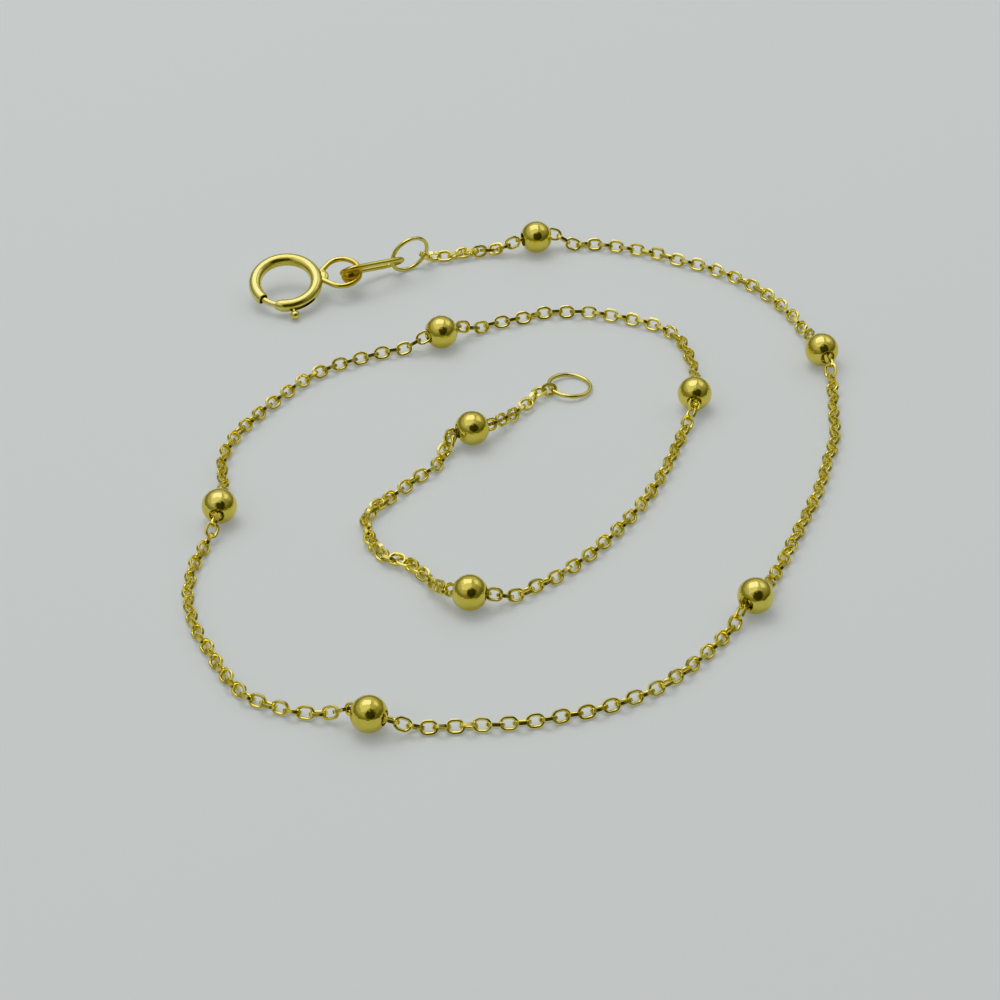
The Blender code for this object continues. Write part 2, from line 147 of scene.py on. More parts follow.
# Oval link and rings
OVAL_LENGTH = 0.0056
OVAL_WIDTH = 0.0023
OVAL_WIRE = 0.0004
OVAL_EYE_PLAY = 0.00094
OVAL_JUMP_PLAY = 0.0005
OVAL_OFFSET = 0.00015
OVAL_HEADING = 31.5
OVAL_ROLL = -42.0
OVAL_BEND_STEPS = 24
OVAL_LUMP_LENGTH = 0.0017
OVAL_LUMP_WIDTH = 0.0014
OVAL_LUMP_SINK = 0.00036
# Painted shade round the oval link's solder lump: how far it reaches, and its orange-brown colour, as of gold
# reflected in gold
PAINTED_SHADE_REACH = 0.002
PAINTED_SHADE_COLOUR = (0.56, 0.39, 0.08)
EYE_HOOK_ANGLE = 15.0
JUMP_HOOK_ANGLE = 190.0
JUMP_OUTER = 0.0034
JUMP_WIRE = 0.00031
JUMP_CENTRE = (-0.00863, 0.02597)
JUMP_FACING = (0.503, -0.839, -0.203)
JUMP_LINK_ANGLE = -28.0
END_RING_OUTER = 0.0034
END_RING_WIRE = 0.00031
END_RING_CENTRE = (0.00342, 0.00942)
END_RING_LINK_ANGLE = 208.0
END_LINK_LEAN = 12.0
LINK_PLAY = 0.00006
RING_STEPS = 120
WIRE_SIDES = 20
HALF_SEAM = 0.5
JUMP_SEAM_ANGLE = 60.0
END_RING_SEAM_ANGLE = 260.0

# Where the beads lie, from the clasp end on, and the way that each bead's bore points there
BEADS = [
    ((0.0013, 0.0289), 18),
    ((0.0223, 0.0123), -72),
    ((0.0152, -0.0173), -128),
    ((-0.0105, -0.0290), 157),
    ((-0.0215, -0.0062), 84),
    ((-0.0061, 0.0155), 29),
    ((0.0125, 0.0068), -95),
    ((-0.0040, -0.0165), 173),
    ((-0.0038, 0.0028), 19),
]

# The chain's route on the surface: one row for each stretch between beads, from the clasp end on
CHAIN_ROUTE = [
    [(-0.0056, 0.0275), (-0.0040, 0.0280), (-0.0022, 0.0283)],
    [(0.0044, 0.0289), (0.0061, 0.0289), (0.0093, 0.0280), (0.0123, 0.0265), (0.0152, 0.0249),
     (0.0179, 0.0225), (0.0199, 0.0197), (0.0212, 0.0166)],
    [(0.0228, 0.0091), (0.0226, 0.0058), (0.0224, 0.0024), (0.0216, -0.0008), (0.0205, -0.0047),
     (0.0190, -0.0086), (0.0175, -0.0124), (0.0167, -0.0143)],
    [(0.0133, -0.0200), (0.0111, -0.0230), (0.0087, -0.0255), (0.0056, -0.0274), (0.0023, -0.0285),
     (-0.0011, -0.0292), (-0.0046, -0.0294), (-0.0072, -0.0295)],
    [(-0.0138, -0.0280), (-0.0158, -0.0276), (-0.0181, -0.0264), (-0.0196, -0.0247), (-0.0210, -0.0219),
     (-0.0224, -0.0188), (-0.0231, -0.0156), (-0.0230, -0.0123), (-0.0223, -0.0096)],
    [(-0.0215, -0.0027), (-0.0217, 0.0001), (-0.0211, 0.0031), (-0.0196, 0.0059), (-0.0174, 0.0091),
     (-0.0150, 0.0117), (-0.0119, 0.0134), (-0.0092, 0.0144)],
    [(-0.0032, 0.0172), (-0.0020, 0.0178), (0.0004, 0.0186), (0.0022, 0.0192), (0.0051, 0.0191),
     (0.0082, 0.0181), (0.0104, 0.0170), (0.0118, 0.0152), (0.0125, 0.0127), (0.0127, 0.0104)],
    [(0.0115, 0.0030), (0.0103, -0.0005), (0.0090, -0.0038), (0.0073, -0.0070), (0.0049, -0.0105),
     (0.0027, -0.0131), (0.0007, -0.0148), (-0.0008, -0.0159)],
    [(-0.0069, -0.0139), (-0.0082, -0.0123), (-0.0099, -0.0111), (-0.0108, -0.0095), (-0.0112, -0.0075),
     (-0.0109, -0.0061), (-0.0093, -0.0040), (-0.0079, -0.0023), (-0.0063, -0.0005), (-0.0058, 0.0011)],
    [(-0.0006, 0.0058), (0.0003, 0.0070)],
]

# Camera, from the photograph's perspective
CAMERA_PLACE = (-0.00187, -0.1868, 0.13405)
CAMERA_PITCH = 36.3
CAMERA_ROLL = -0.88
CAMERA_LENS = 115.38
SENSOR = 36.0
CAMERA_NEAR = 0.005

# Floor and light
FLOOR_SIZE = 4.0
FLOOR_COLOUR = (0.455, 0.476, 0.472)
FLOOR_GLOW = 0.218
FLOOR_ROUGHNESS = 0.7
FLOOR_SHINE = 0.2
SOFTBOX_HEIGHT = 0.7
SOFTBOX_TINT = (1.0, 0.99, 0.97)
SOFTBOXES = (
    ((-0.42, 0.10), (0.12, 0.56), 2.6),
    ((-0.76, -0.49), (0.14, 0.66), 0.32),
    ((0.34, 0.10), (0.80, 0.70), 0.45),
)
ROOM_LIGHT = ((0.0, 0.20), (0.3, 0.32), (0.5, 0.58), (1.0, 0.56))

# Parts of the room, as way, core and edge in degrees, and light there: the photographer, the near right
# side and the far wall
ROOM_PARTS = (
    ((0.20, -0.765, 0.61), 23.0, 38.0, 0.09),
    ((0.87, -0.35, 0.36), 6.0, 48.0, 0.55),
    ((0.1, 0.85, 0.45), 15.0, 50.0, 1.2),
)

# Gold finishes: light and dark tone, least and most roughness, depth of the dents and of the scratches
POLISHED_GOLD = ((0.78, 0.68, 0.20), (0.71, 0.605, 0.14), (0.06, 0.14), 0.000026, 0.0000004)
CHAIN_GOLD = ((0.87, 0.765, 0.26), (0.73, 0.625, 0.16), (0.08, 0.2), 0.000004, 0.0000004)
RING_GOLD = ((0.75, 0.68, 0.24), (0.67, 0.59, 0.16), (0.13, 0.26), 0.000008, 0.0000006)
WORN_GOLD = ((0.80, 0.71, 0.28), (0.72, 0.62, 0.19), (0.16, 0.3), 0.000003, 0.0000008)
SCRATCH_STRETCH = (1.0, 0.22, 1.0)
SCRATCH_TURN = (0.4, 0.2, 0.7)
TONE_RANGE = (0.35, 0.65)
RUB_RANGE = (0.3, 0.7)

# Their noise: scale and detail
TONE_NOISE = (700.0, 3.0)
RUB_NOISE = (4200.0, 4.0)
DENT_NOISE = (2200.0, 2.0)
SCRATCH_NOISE = (16000.0, 2.0)

SHARP_ANGLE = 50.0

MM = 1000.0

random_lay = random.Random(LAY_SEED)


def way(angle):
    """The level direction at an angle from +X."""
    return Vector((math.cos(math.radians(angle)), math.sin(math.radians(angle)), 0.0))


def axes_matrix(centre, along, across):
    """Places local X along one direction and local Y as near to the other as it can."""
    x = Vector(along).normalized()
    z = x.cross(Vector(across)).normalized()
    y = z.cross(x)
    matrix = Matrix((x, y, z)).transposed().to_4x4()
    matrix.translation = centre
    return matrix


# Places of the rings, as in the part's source

JUMP_CENTRELINE = (JUMP_OUTER - JUMP_WIRE) / 2
END_RING_CENTRELINE = (END_RING_OUTER - END_RING_WIRE) / 2
RING_CENTRELINE = (RING_OUTER - RING_TUBE) / 2
EYE_CENTRELINE = (EYE_OUTER - EYE_WIRE) / 2
EYE_DISTANCE = RING_OUTER / 2 + EYE_NECK + EYE_CENTRELINE
KNOB_REACH = RING_TUBE / 2 + KNOB_GAP + KNOB_DIAMETER / 2
LINK_HALF_SPAN = (LINK_WIDTH - LINK_WIRE) / 2
LINK_RISE = LINK_HALF_SPAN * math.cos(math.radians(END_LINK_LEAN)) + LINK_WIRE / 2
END_RING_PROP = LINK_RISE + SURFACE_CLEARANCE - END_RING_WIRE / 2


def jump_ring_matrix():
    facing = Vector(JUMP_FACING).normalized()
    level = Vector((0, 0, 1)).cross(facing).normalized()
    rise = facing.cross(level)
    height = JUMP_CENTRELINE * rise.z + JUMP_WIRE / 2
    return axes_matrix(Vector((*JUMP_CENTRE, height)), level, rise)


def end_ring_matrix():
    towards = way(END_RING_LINK_ANGLE)
    tilt = math.asin(END_RING_PROP / (2 * END_RING_CENTRELINE))
    along = towards * math.cos(tilt) + Vector((0, 0, math.sin(tilt)))
    height = (END_RING_WIRE + END_RING_PROP) / 2
    return axes_matrix(Vector((*END_RING_CENTRE, height)), along, Vector((0, 0, 1)).cross(towards))


def link_on_ring(matrix, centreline, ring_wire, angle, lean):
    """The end link's centre, its way off the ring and its flat side, hooked over the ring's wire."""
    radial = matrix.to_3x3() @ way(angle)
    normal = matrix.to_3x3() @ Vector((0, 0, 1))
    hooked = matrix.translation + radial * centreline
    flat = Matrix.Rotation(math.radians(lean), 3, radial) @ normal
    offset = LINK_LENGTH / 2 - LINK_WIRE - ring_wire / 2 - LINK_PLAY
    return hooked + radial * offset, radial, flat


def knob_root():
    return way(KNOB_ANGLE) * RING_CENTRELINE


def knob_way():
    """Outwards from the tube's middle and a little down, where the stem and the slot run."""
    drop = math.radians(KNOB_DROP)
    return way(KNOB_ANGLE) * math.cos(drop) - Vector((0, 0, math.sin(drop)))


def clasp_height():
    tilt = math.radians(CLASP_TILT)
    tube_drop = RING_CENTRELINE * math.sin(tilt) + RING_TUBE / 2
    knob = Matrix.Rotation(tilt, 3, "X") @ (knob_root() + knob_way() * KNOB_REACH)
    return max(tube_drop, KNOB_DIAMETER / 2 - knob.z) + SURFACE_CLEARANCE


def clasp_and_oval_matrices():
    """The clasp and the oval link, strung from the jump ring by the link's length."""
    turned = Matrix.Rotation(math.radians(CLASP_TILT), 4, "X")
    jump_hook = jump_ring_matrix() @ (way(JUMP_HOOK_ANGLE) * JUMP_CENTRELINE)
    to_eye_hook = turned @ (way(EYE_ANGLE) * EYE_DISTANCE + way(EYE_HOOK_ANGLE) * EYE_CENTRELINE)
    between = OVAL_LENGTH - 2 * OVAL_WIRE - (EYE_WIRE + JUMP_WIRE) / 2 - OVAL_EYE_PLAY - OVAL_JUMP_PLAY
    climb = jump_hook.z - clasp_height() - to_eye_hook.z
    level_part = math.sqrt(between**2 - climb**2)
    along = (way(OVAL_HEADING) * level_part + Vector((0, 0, climb))) / between
    clasp_centre = jump_hook - along * between - to_eye_hook

    level_side = Vector((0, 0, 1)).cross(along).normalized()
    across = Matrix.Rotation(math.radians(OVAL_ROLL), 3, along) @ level_side
    reach = OVAL_LENGTH / 2 - OVAL_WIRE - JUMP_WIRE / 2 - OVAL_JUMP_PLAY
    oval = axes_matrix(jump_hook - along * reach + across * OVAL_OFFSET, along, across)
    return Matrix.Translation(clasp_centre) @ turned, oval


# Mesh helpers

def new_object(name, vertices, faces):
    mesh = bpy.data.meshes.new(name)
    mesh.from_pydata(vertices, [], faces)
    mesh.shade_smooth()
    made = bpy.data.objects.new(name, mesh)
    bpy.context.scene.collection.objects.link(made)
    return made


def stadium(length, width, wire, bend_steps):
    """Centreline of an oval link in its own XY plane, long along X."""
    bend = (width - wire) / 2
    straight = (length - wire) / 2 - bend
    points = []
    for side, first in ((1, -90), (-1, 90)):
        for i in range(bend_steps + 1):
            points.append(Vector((side * straight, 0.0, 0.0)) + bend * way(first + 180 * i / bend_steps))
        points.append(Vector((0.0, side * bend, 0.0)))
    return points


def arc(radius, start, stop, steps):
    return [radius * way(start + (stop - start) * i / steps) for i in range(steps + 1)]


def round_section(sides):
    return [(math.cos(2 * math.pi * k / sides), math.sin(2 * math.pi * k / sides)) for k in range(sides)]


def flat_rim_section():
    """A link's wire across: round, with its outer side cut flat."""
    section = []
    for k in range(LINK_SIDES):
        turn = math.radians(LINK_FLAT_ANGLE + (360.0 - 2 * LINK_FLAT_ANGLE) * k / (LINK_SIDES - 1))
        outwards = LINK_PLUMPNESS * math.cos(turn) + LINK_FLAT_SHIFT
        section.append((outwards, LINK_PLUMPNESS * math.sin(turn)))
    return section


def swept(points, closed, radii, section):
    """Vertices and faces of a wire along a flat path, with its radius at each point.

    The section is given for a radius of 1, as outwards and upwards.
    """
    up = Vector((0, 0, 1))
    vertices = []
    count = len(points)
    for i, (point, radius) in enumerate(zip(points, radii)):
        before = points[i - 1] if closed or i > 0 else point
        after = points[(i + 1) % count] if closed or i < count - 1 else point
        out = (after - before).normalized().cross(up)
        for outwards, upwards in section:
            vertices.append(point + out * radius * outwards + up * radius * upwards)
    sides = len(section)
    faces = []
    for i in range(count if closed else count - 1):
        here = i * sides
        there = (i + 1) % count * sides
        for k in range(sides):
            after = (k + 1) % sides
            faces.append((here + k, there + k, there + after, here + after))
    if not closed:
        faces.append(tuple(range(sides)))
        faces.append(tuple(reversed(range((count - 1) * sides, count * sides))))
    return vertices, faces


def apply_modifiers(obj):
    evaluated = obj.evaluated_get(bpy.context.evaluated_depsgraph_get())
    mesh = bpy.data.meshes.new_from_object(evaluated)
    obj.modifiers.clear()
    obj.data = mesh


def cut_away(target, cutter):
    """Cuts one shape out of another at once."""
    modifier = target.modifiers.new("cut", "BOOLEAN")
    modifier.operation = "DIFFERENCE"
    modifier.solver = "EXACT"
    modifier.object = cutter
    bpy.context.view_layer.update()
    apply_modifiers(target)
    bpy.data.objects.remove(cutter, do_unlink=True)


def put_together(target, other):
    """Adds another object's shell to a piece."""
    shape = bmesh.new()
    shape.from_mesh(target.data)
    shape.from_mesh(other.data)
    shape.to_mesh(target.data)
    shape.free()
    bpy.data.objects.remove(other, do_unlink=True)


def settle(piece, matrix, scale, body, node, finish):
    """Puts a finished mesh in its place and hands it over to the frame."""
    piece.data.transform(matrix @ Matrix.Scale(scale, 4))
    piece.data.shade_smooth()
    piece.data.set_sharp_from_angle(angle=math.radians(SHARP_ANGLE))
    piece.data.materials.clear()
    piece.data.materials.append(finish)
    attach(piece, body)
    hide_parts(node)


# Materials

def noise(material, where, scale, detail):
    """A noise texture's value."""
    texture = material.node_tree.nodes.new("ShaderNodeTexNoise")
    texture.inputs["Scale"].default_value = scale
    texture.inputs["Detail"].default_value = detail
    material.node_tree.links.new(where, texture.inputs["Vector"])
    return texture.outputs["Fac"]


def bump(material, height, depth):
    made = material.node_tree.nodes.new("ShaderNodeBump")
    made.inputs["Strength"].default_value = 1.0
    made.inputs["Distance"].default_value = depth
    material.node_tree.links.new(height, made.inputs["Height"])
    return made


def metal(name, colour, shade_colour, roughness, dents, scratches):
    """Gold whose colour varies a little, roughened by fine rubbing, with shallow dents in its reflections."""
    made = bpy.data.materials.new(name)
    made.use_nodes = True
    nodes = made.node_tree.nodes
    links = made.node_tree.links
    shader = nodes["Principled BSDF"]
    shader.inputs["Metallic"].default_value = 1.0
    where = nodes.new("ShaderNodeTexCoord").outputs["Object"]

    tone = noise(made, where, *TONE_NOISE)
    tint = nodes.new("ShaderNodeValToRGB")
    tint.color_ramp.elements[0].position = TONE_RANGE[0]
    tint.color_ramp.elements[0].color = (*shade_colour, 1.0)
    tint.color_ramp.elements[1].position = TONE_RANGE[1]
    tint.color_ramp.elements[1].color = (*colour, 1.0)
    links.new(tone, tint.inputs["Fac"])
    links.new(tint.outputs["Color"], shader.inputs["Base Color"])

    rub = noise(made, where, *RUB_NOISE)
    spread = nodes.new("ShaderNodeMapRange")
    spread.inputs["From Min"].default_value = RUB_RANGE[0]
    spread.inputs["From Max"].default_value = RUB_RANGE[1]
    spread.inputs["To Min"].default_value = roughness[0]
    spread.inputs["To Max"].default_value = roughness[1]
    links.new(rub, spread.inputs["Value"])
    links.new(spread.outputs["Result"], shader.inputs["Roughness"])

    dented = bump(made, noise(made, where, *DENT_NOISE), dents)
    stretch = nodes.new("ShaderNodeMapping")
    stretch.inputs["Scale"].default_value = SCRATCH_STRETCH
    stretch.inputs["Rotation"].default_value = SCRATCH_TURN
    links.new(where, stretch.inputs["Vector"])
    scratched = bump(made, noise(made, stretch.outputs["Vector"], *SCRATCH_NOISE), scratches)
    links.new(dented.outputs["Normal"], scratched.inputs["Normal"])
    links.new(scratched.outputs["Normal"], shader.inputs["Normal"])
    return made


def add_painted_shade_round_lump(finish, matrix):
    """Paints orange-brown shade, warmed as by gold reflected in gold, onto the metal round the oval link's
    solder lump.
    """
    nodes = finish.node_tree.nodes
    links = finish.node_tree.links
    shader = nodes["Principled BSDF"]
    where = nodes.new("ShaderNodeTexCoord")
    away = nodes.new("ShaderNodeVectorMath")
    away.operation = "DISTANCE"
    away.inputs[1].default_value = matrix @ lump_place()
    links.new(where.outputs["Object"], away.inputs[0])
    fade = nodes.new("ShaderNodeMapRange")
    fade.interpolation_type = "SMOOTHSTEP"
    fade.inputs["From Min"].default_value = PAINTED_SHADE_REACH / 3
    fade.inputs["From Max"].default_value = PAINTED_SHADE_REACH
    fade.inputs["To Min"].default_value = 1.0
    fade.inputs["To Max"].default_value = 0.0
    links.new(away.outputs["Value"], fade.inputs["Value"])
    # Mixes the painted orange-brown shade into the gold's colour, strongest at the lump
    mix = nodes.new("ShaderNodeMix")
    mix.data_type = "RGBA"
    links.new(fade.outputs["Result"], mix.inputs["Factor"])
    links.new(shader.inputs["Base Color"].links[0].from_socket, mix.inputs["A"])
    mix.inputs["B"].default_value = (*PAINTED_SHADE_COLOUR, 1.0)
    links.new(mix.outputs["Result"], shader.inputs["Base Color"])


def floor_material():
    made = bpy.data.materials.new("pale_surface")
    made.use_nodes = True
    shader = made.node_tree.nodes["Principled BSDF"]
    shader.inputs["Base Color"].default_value = (*FLOOR_COLOUR, 1.0)
    shader.inputs["Roughness"].default_value = FLOOR_ROUGHNESS
    shader.inputs["Specular IOR Level"].default_value = FLOOR_SHINE
    shader.inputs["Emission Color"].default_value = (*FLOOR_COLOUR, 1.0)
    shader.inputs["Emission Strength"].default_value = FLOOR_GLOW / FLOOR_COLOUR[1]
    return made


# Chain

def catmull_rom(points):
    """A smooth curve through all points but the first and last, which only steer its ends."""
    curve = [points[1]]
    for a, b, c, d in zip(points, points[1:], points[2:], points[3:]):
        for i in range(1, PATH_SAMPLES + 1):
            t = i / PATH_SAMPLES
            bend = (2 * a - 5 * b + 4 * c - d) * t**2 + (3 * b - a - 3 * c + d) * t**3
            curve.append(0.5 * (2 * b + (c - a) * t + bend))
    return curve


class Path:
    """A curve that is read by the length along it."""

    def __init__(self, points):
        self.points = points
        self.travelled = [0.0]
        for a, b in zip(points, points[1:]):
            self.travelled.append(self.travelled[-1] + (b - a).length)
        self.length = self.travelled[-1]

    def at(self, distance):
        distance = min(max(distance, 0.0), self.length)
        low, high = 0, len(self.points) - 1
        while high - low > 1:
            middle = (low + high) // 2
            if self.travelled[middle] <= distance:
                low = middle
            else:
                high = middle
        share = (distance - self.travelled[low]) / (self.travelled[high] - self.travelled[low])
        return self.points[low].lerp(self.points[high], share)

    def nearest(self, place):
        """How far along the path lies nearest to a place."""
        best = min(range(len(self.points)), key=lambda i: (self.points[i] - place).length_squared)
        return self.travelled[best]


def bead_centre(place_xy):
    return Vector((*place_xy, BEAD_DIAMETER / 2))


def chain_path(first, first_way, last, last_way):
    """The whole chain's middle line, from the link on the jump ring to the link on the end ring."""
    lies = LINK_HALF_SPAN * math.sin(math.radians(LINK_ROLL)) + LINK_PLUMPNESS * LINK_WIRE / 2 + LIES_BARE
    reach = BEAD_DIAMETER / 2 + PORT_REACH
    points = [first - first_way * LINK_PITCH, first, first + first_way * LINK_PITCH]
    for number, route in enumerate(CHAIN_ROUTE):
        points += [Vector((x, y, lies)) for x, y in route]
        if number < len(BEADS):
            place_xy, angle = BEADS[number]
            centre = bead_centre(place_xy)
            points += [centre - way(angle) * reach, centre, centre + way(angle) * reach]
    points += [last + last_way * LINK_PITCH, last, last - last_way * LINK_PITCH]
    curve = catmull_rom(points)
    for point in curve:
        point.z = max(point.z, lies)
    return Path(curve)


def bunches_along(path):
    """Each bunch as a range of length along the path."""
    marks = [0.0] + [path.nearest(bead_centre(place_xy)) for place_xy, _ in BEADS] + [path.length]
    ranges = []
    for stretch, start, stop, closer, unruly in BUNCHES:
        first = marks[stretch] + BEAD_DIAMETER / 2
        span = marks[stretch + 1] - BEAD_DIAMETER / 2 - first
        ranges.append((first + start * span, first + stop * span, closer, unruly))
    return ranges, marks


def bunched(ranges, distance):
    for start, stop, closer, unruly in ranges:
        if start <= distance < stop:
            return closer, unruly
    return 0.0, 0.0


def link_stations(path, ranges):
    """Evenly strung places along the path, closer together in the bunches."""
    steps = math.ceil(path.length / PATH_STEP)
    step = path.length / steps
    strung = [0.0]
    for i in range(steps):
        closer, _ = bunched(ranges, (i + 0.5) * step)
        strung.append(strung[-1] + step / (1.0 - closer))
    count = round(strung[-1] / LINK_PITCH)
    stations = []
    i = 0
    for k in range(count + 1):
        wanted = strung[-1] * k / count
        while i < steps - 1 and strung[i + 1] < wanted:
            i += 1
        share = (wanted - strung[i]) / (strung[i + 1] - strung[i])
        stations.append((i + share) * step)
    return stations


def fold(angle):
    """The same flat direction as an angle from -90 to 90 degrees."""
    return (angle + 90.0) % 180.0 - 90.0


def roll_of(along, flat):
    """How far a link's width is turned about its length, from level."""
    side = Vector((0, 0, 1)).cross(along).normalized()
    return math.degrees(math.atan2(flat.dot(along.cross(side)), flat.dot(side)))


def link_matrices():
    """Where each link lies, from the jump ring to the end ring, and where the outer half ends."""
    jump_end = link_on_ring(jump_ring_matrix(), JUMP_CENTRELINE, JUMP_WIRE, JUMP_LINK_ANGLE, 0.0)
    far_end = link_on_ring(end_ring_matrix(), END_RING_CENTRELINE, END_RING_WIRE, 0.0, END_LINK_LEAN)
    path = chain_path(jump_end[0], jump_end[1], far_end[0], far_end[1])
    ranges, marks = bunches_along(path)
    stations = link_stations(path, ranges)
    last = len(stations) - 1

    first_roll = roll_of(jump_end[1], jump_end[2])
    last_roll = roll_of(-far_end[1], far_end[2])
    parity = 0 if abs(fold(first_roll - LINK_ROLL)) <= abs(fold(first_roll + LINK_ROLL)) else 1
    matrices = []
    for k, station in enumerate(stations):
        centre = path.at(station)
        along = (path.at(station + LINK_REACH) - path.at(station - LINK_REACH)).normalized()
        closer, unruly = bunched(ranges, station)
        alternate = LINK_ROLL if (k + parity) % 2 == 0 else -LINK_ROLL
        twist = sum(size * math.sin(2 * math.pi * station / wave + phase) for size, wave, phase in TWISTS)
        uneven = random_lay.gauss(0.0, ROLL_UNEVEN) + unruly * random_lay.uniform(-BUNCH_ROLL, BUNCH_ROLL)
        roll = alternate + twist + uneven + LINK_LEAN * along.x
        for steps_off, wanted in ((k, first_roll), (last - k, last_roll)):
            if steps_off < END_BLEND_LINKS:
                ends_share = 1.0 - steps_off / END_BLEND_LINKS
                own = wanted if steps_off % 2 == 0 else wanted + 90.0
                roll += fold(own - roll) * ends_share
        side = Vector((0, 0, 1)).cross(along).normalized()
        if END_BLEND_LINKS <= k <= last - END_BLEND_LINKS:
            sway = random_lay.gauss(0.0, SIDE_UNEVEN) + unruly * random_lay.uniform(-BUNCH_SIDE, BUNCH_SIDE)
            yaw = random_lay.gauss(0.0, YAW_UNEVEN) + unruly * random_lay.uniform(-BUNCH_YAW, BUNCH_YAW)
            centre = centre + side * sway
            along = Matrix.Rotation(math.radians(yaw), 3, "Z") @ along
            side = Vector((0, 0, 1)).cross(along).normalized()
        flat = Matrix.Rotation(math.radians(roll), 3, along) @ side
        bend_drop = LINK_HALF_SPAN * math.sqrt(max(flat.z**2, 1.0 - flat.z**2) + along.z**2)
        straight_drop = (LINK_LENGTH - LINK_WIDTH) / 2 * abs(along.z)
        centre.z = max(centre.z, bend_drop + straight_drop + LINK_PLUMPNESS * LINK_WIRE / 2 + LIES_BARE)
        matrices.append(axes_matrix(centre, along, flat))
    outer_count = sum(station < marks[OUTER_STRETCHES] for station in stations)
    return matrices, outer_count


def add_links(name, node, matrices):
    path = stadium(LINK_LENGTH, LINK_WIDTH, LINK_WIRE, LINK_BEND_STEPS)
    one, one_faces = swept(path, True, [LINK_WIRE / 2] * len(path), flat_rim_section())
    vertices = []
    faces = []
    for matrix in matrices:
        base = len(vertices)
        vertices += [matrix @ vertex for vertex in one]
        faces += [tuple(base + corner for corner in face) for face in one_faces]
    links = new_object(name, vertices, faces)
    settle(links, Matrix.Identity(4), 1.0, "anklet", node, chain_gold)


def add_chain():
    matrices, outer_count = link_matrices()
    add_links("outer_links", "chain_outer", matrices[:outer_count])
    add_links("inner_links", "chain_inner", matrices[outer_count:])


# Beads

def bead_profile():
    """Outer side, far rim, inner side and near rim, each point as radius and height."""
    outer = BEAD_DIAMETER / 2
    inner = outer - BEAD_WALL
    hole = BEAD_HOLE / 2

    def on(radius, angle):
        return Vector((radius * math.sin(angle), radius * math.cos(angle)))

    outer_rim = math.asin(hole / outer)
    inner_rim = math.asin(hole / inner)
    start_angle = outer_rim + RIM_ROUNDING / outer
    points = []
    for i in range(BEAD_OUTER_STEPS + 1):
        points.append(on(outer, start_angle + (math.pi - 2 * start_angle) * i / BEAD_OUTER_STEPS))
    near_corner = on(outer, outer_rim)
    far_corner = Vector((near_corner.x, -near_corner.y))
    start = points[-1]
    stop = Vector((hole, far_corner.y + RIM_ROUNDING))
    for i in range(1, RIM_STEPS + 1):
        t = i / RIM_STEPS
        points.append(start * (1 - t) ** 2 + far_corner * 2 * t * (1 - t) + stop * t**2)
    for i in range(BEAD_INNER_STEPS + 1):
        points.append(on(inner, math.pi - inner_rim - (math.pi - 2 * inner_rim) * i / BEAD_INNER_STEPS))
    start = Vector((hole, near_corner.y - RIM_ROUNDING))
    for i in range(RIM_STEPS):
        t = i / RIM_STEPS
        points.append(start * (1 - t) ** 2 + near_corner * 2 * t * (1 - t) + points[0] * t**2)
    return points


def add_bead(number, place_xy, angle):
    profile = bead_profile()
    count = len(profile)
    vertices = []
    for i in range(BEAD_SIDES):
        spoke = way(360 * i / BEAD_SIDES)
        vertices += [spoke * point.x + Vector((0, 0, point.y)) for point in profile]
    faces = []
    for i in range(BEAD_SIDES):
        here = i * count
        there = (i + 1) % BEAD_SIDES * count
        for k in range(count):
            after = (k + 1) % count
            faces.append((here + k, here + after, there + after, there + k))
    bead = new_object(f"polished_bead_{number}", vertices, faces)
    turn = way(angle).to_track_quat("Z", "Y").to_matrix().to_4x4()
    matrix = Matrix.Translation(bead_centre(place_xy)) @ turn
    settle(bead, matrix, 1.0, "anklet", f"bead_{number}", polished_gold)


# Rings

def add_ring(name, node, matrix, centreline, wire, seam):
    """A ring bent from wire, whose two ends meet at a fine seam."""
    points = arc(centreline, seam + HALF_SEAM, seam + 360.0 - HALF_SEAM, RING_STEPS)
    ring = new_object(name, *swept(points, False, [wire / 2] * len(points), round_section(WIRE_SIDES)))
    settle(ring, matrix, 1.0, "anklet", node, ring_gold)


def lump_place():
    return Vector(((OVAL_LUMP_LENGTH - OVAL_LENGTH) / 2, 0.0, -OVAL_LUMP_SINK))


def add_oval_link(matrix):
    """An oval of wire with its solder lump run smoothly into the bend; shaped in millimetres."""
    points = stadium(OVAL_LENGTH * MM, OVAL_WIDTH * MM, OVAL_WIRE * MM, OVAL_BEND_STEPS)
    radii = [OVAL_WIRE / 2 * MM] * len(points)
    link = new_object("oval_wire_link", *swept(points, True, radii, round_section(WIRE_SIDES)))
    half_sizes = (OVAL_LUMP_LENGTH / 2 * MM, OVAL_LUMP_WIDTH / 2 * MM, OVAL_LUMP_WIDTH / 2 * MM)
    put_together(link, ball("lump", 1.0, lump_place() * MM, half_sizes, Matrix.Identity(4)))
    one_skin(link, OVAL_VOXEL_MM, OVAL_SMOOTHING)
    settle(link, matrix, 1 / MM, "anklet", "oval_link", ring_gold)


# Clasp, shaped in millimetres in its own plane

def ball(name, radius, place, scale, turn):
    bpy.ops.mesh.primitive_uv_sphere_add(segments=BALL_SEGMENTS, ring_count=BALL_RINGS, radius=radius)
    made = bpy.context.object
    made.name = name
    made.data.transform(Matrix.Translation(place) @ turn @ Matrix.Diagonal((*scale, 1.0)))
    return made


def one_skin(piece, voxel, rounds):
    """Makes joined shapes into one skin whose joins run smoothly into each other."""
    remesh = piece.modifiers.new("one_skin", "REMESH")
    remesh.mode = "VOXEL"
    remesh.voxel_size = voxel
    smooth = piece.modifiers.new("soft_joins", "SMOOTH")
    smooth.factor = SKIN_SMOOTH_FACTOR
    smooth.iterations = rounds
    apply_modifiers(piece)


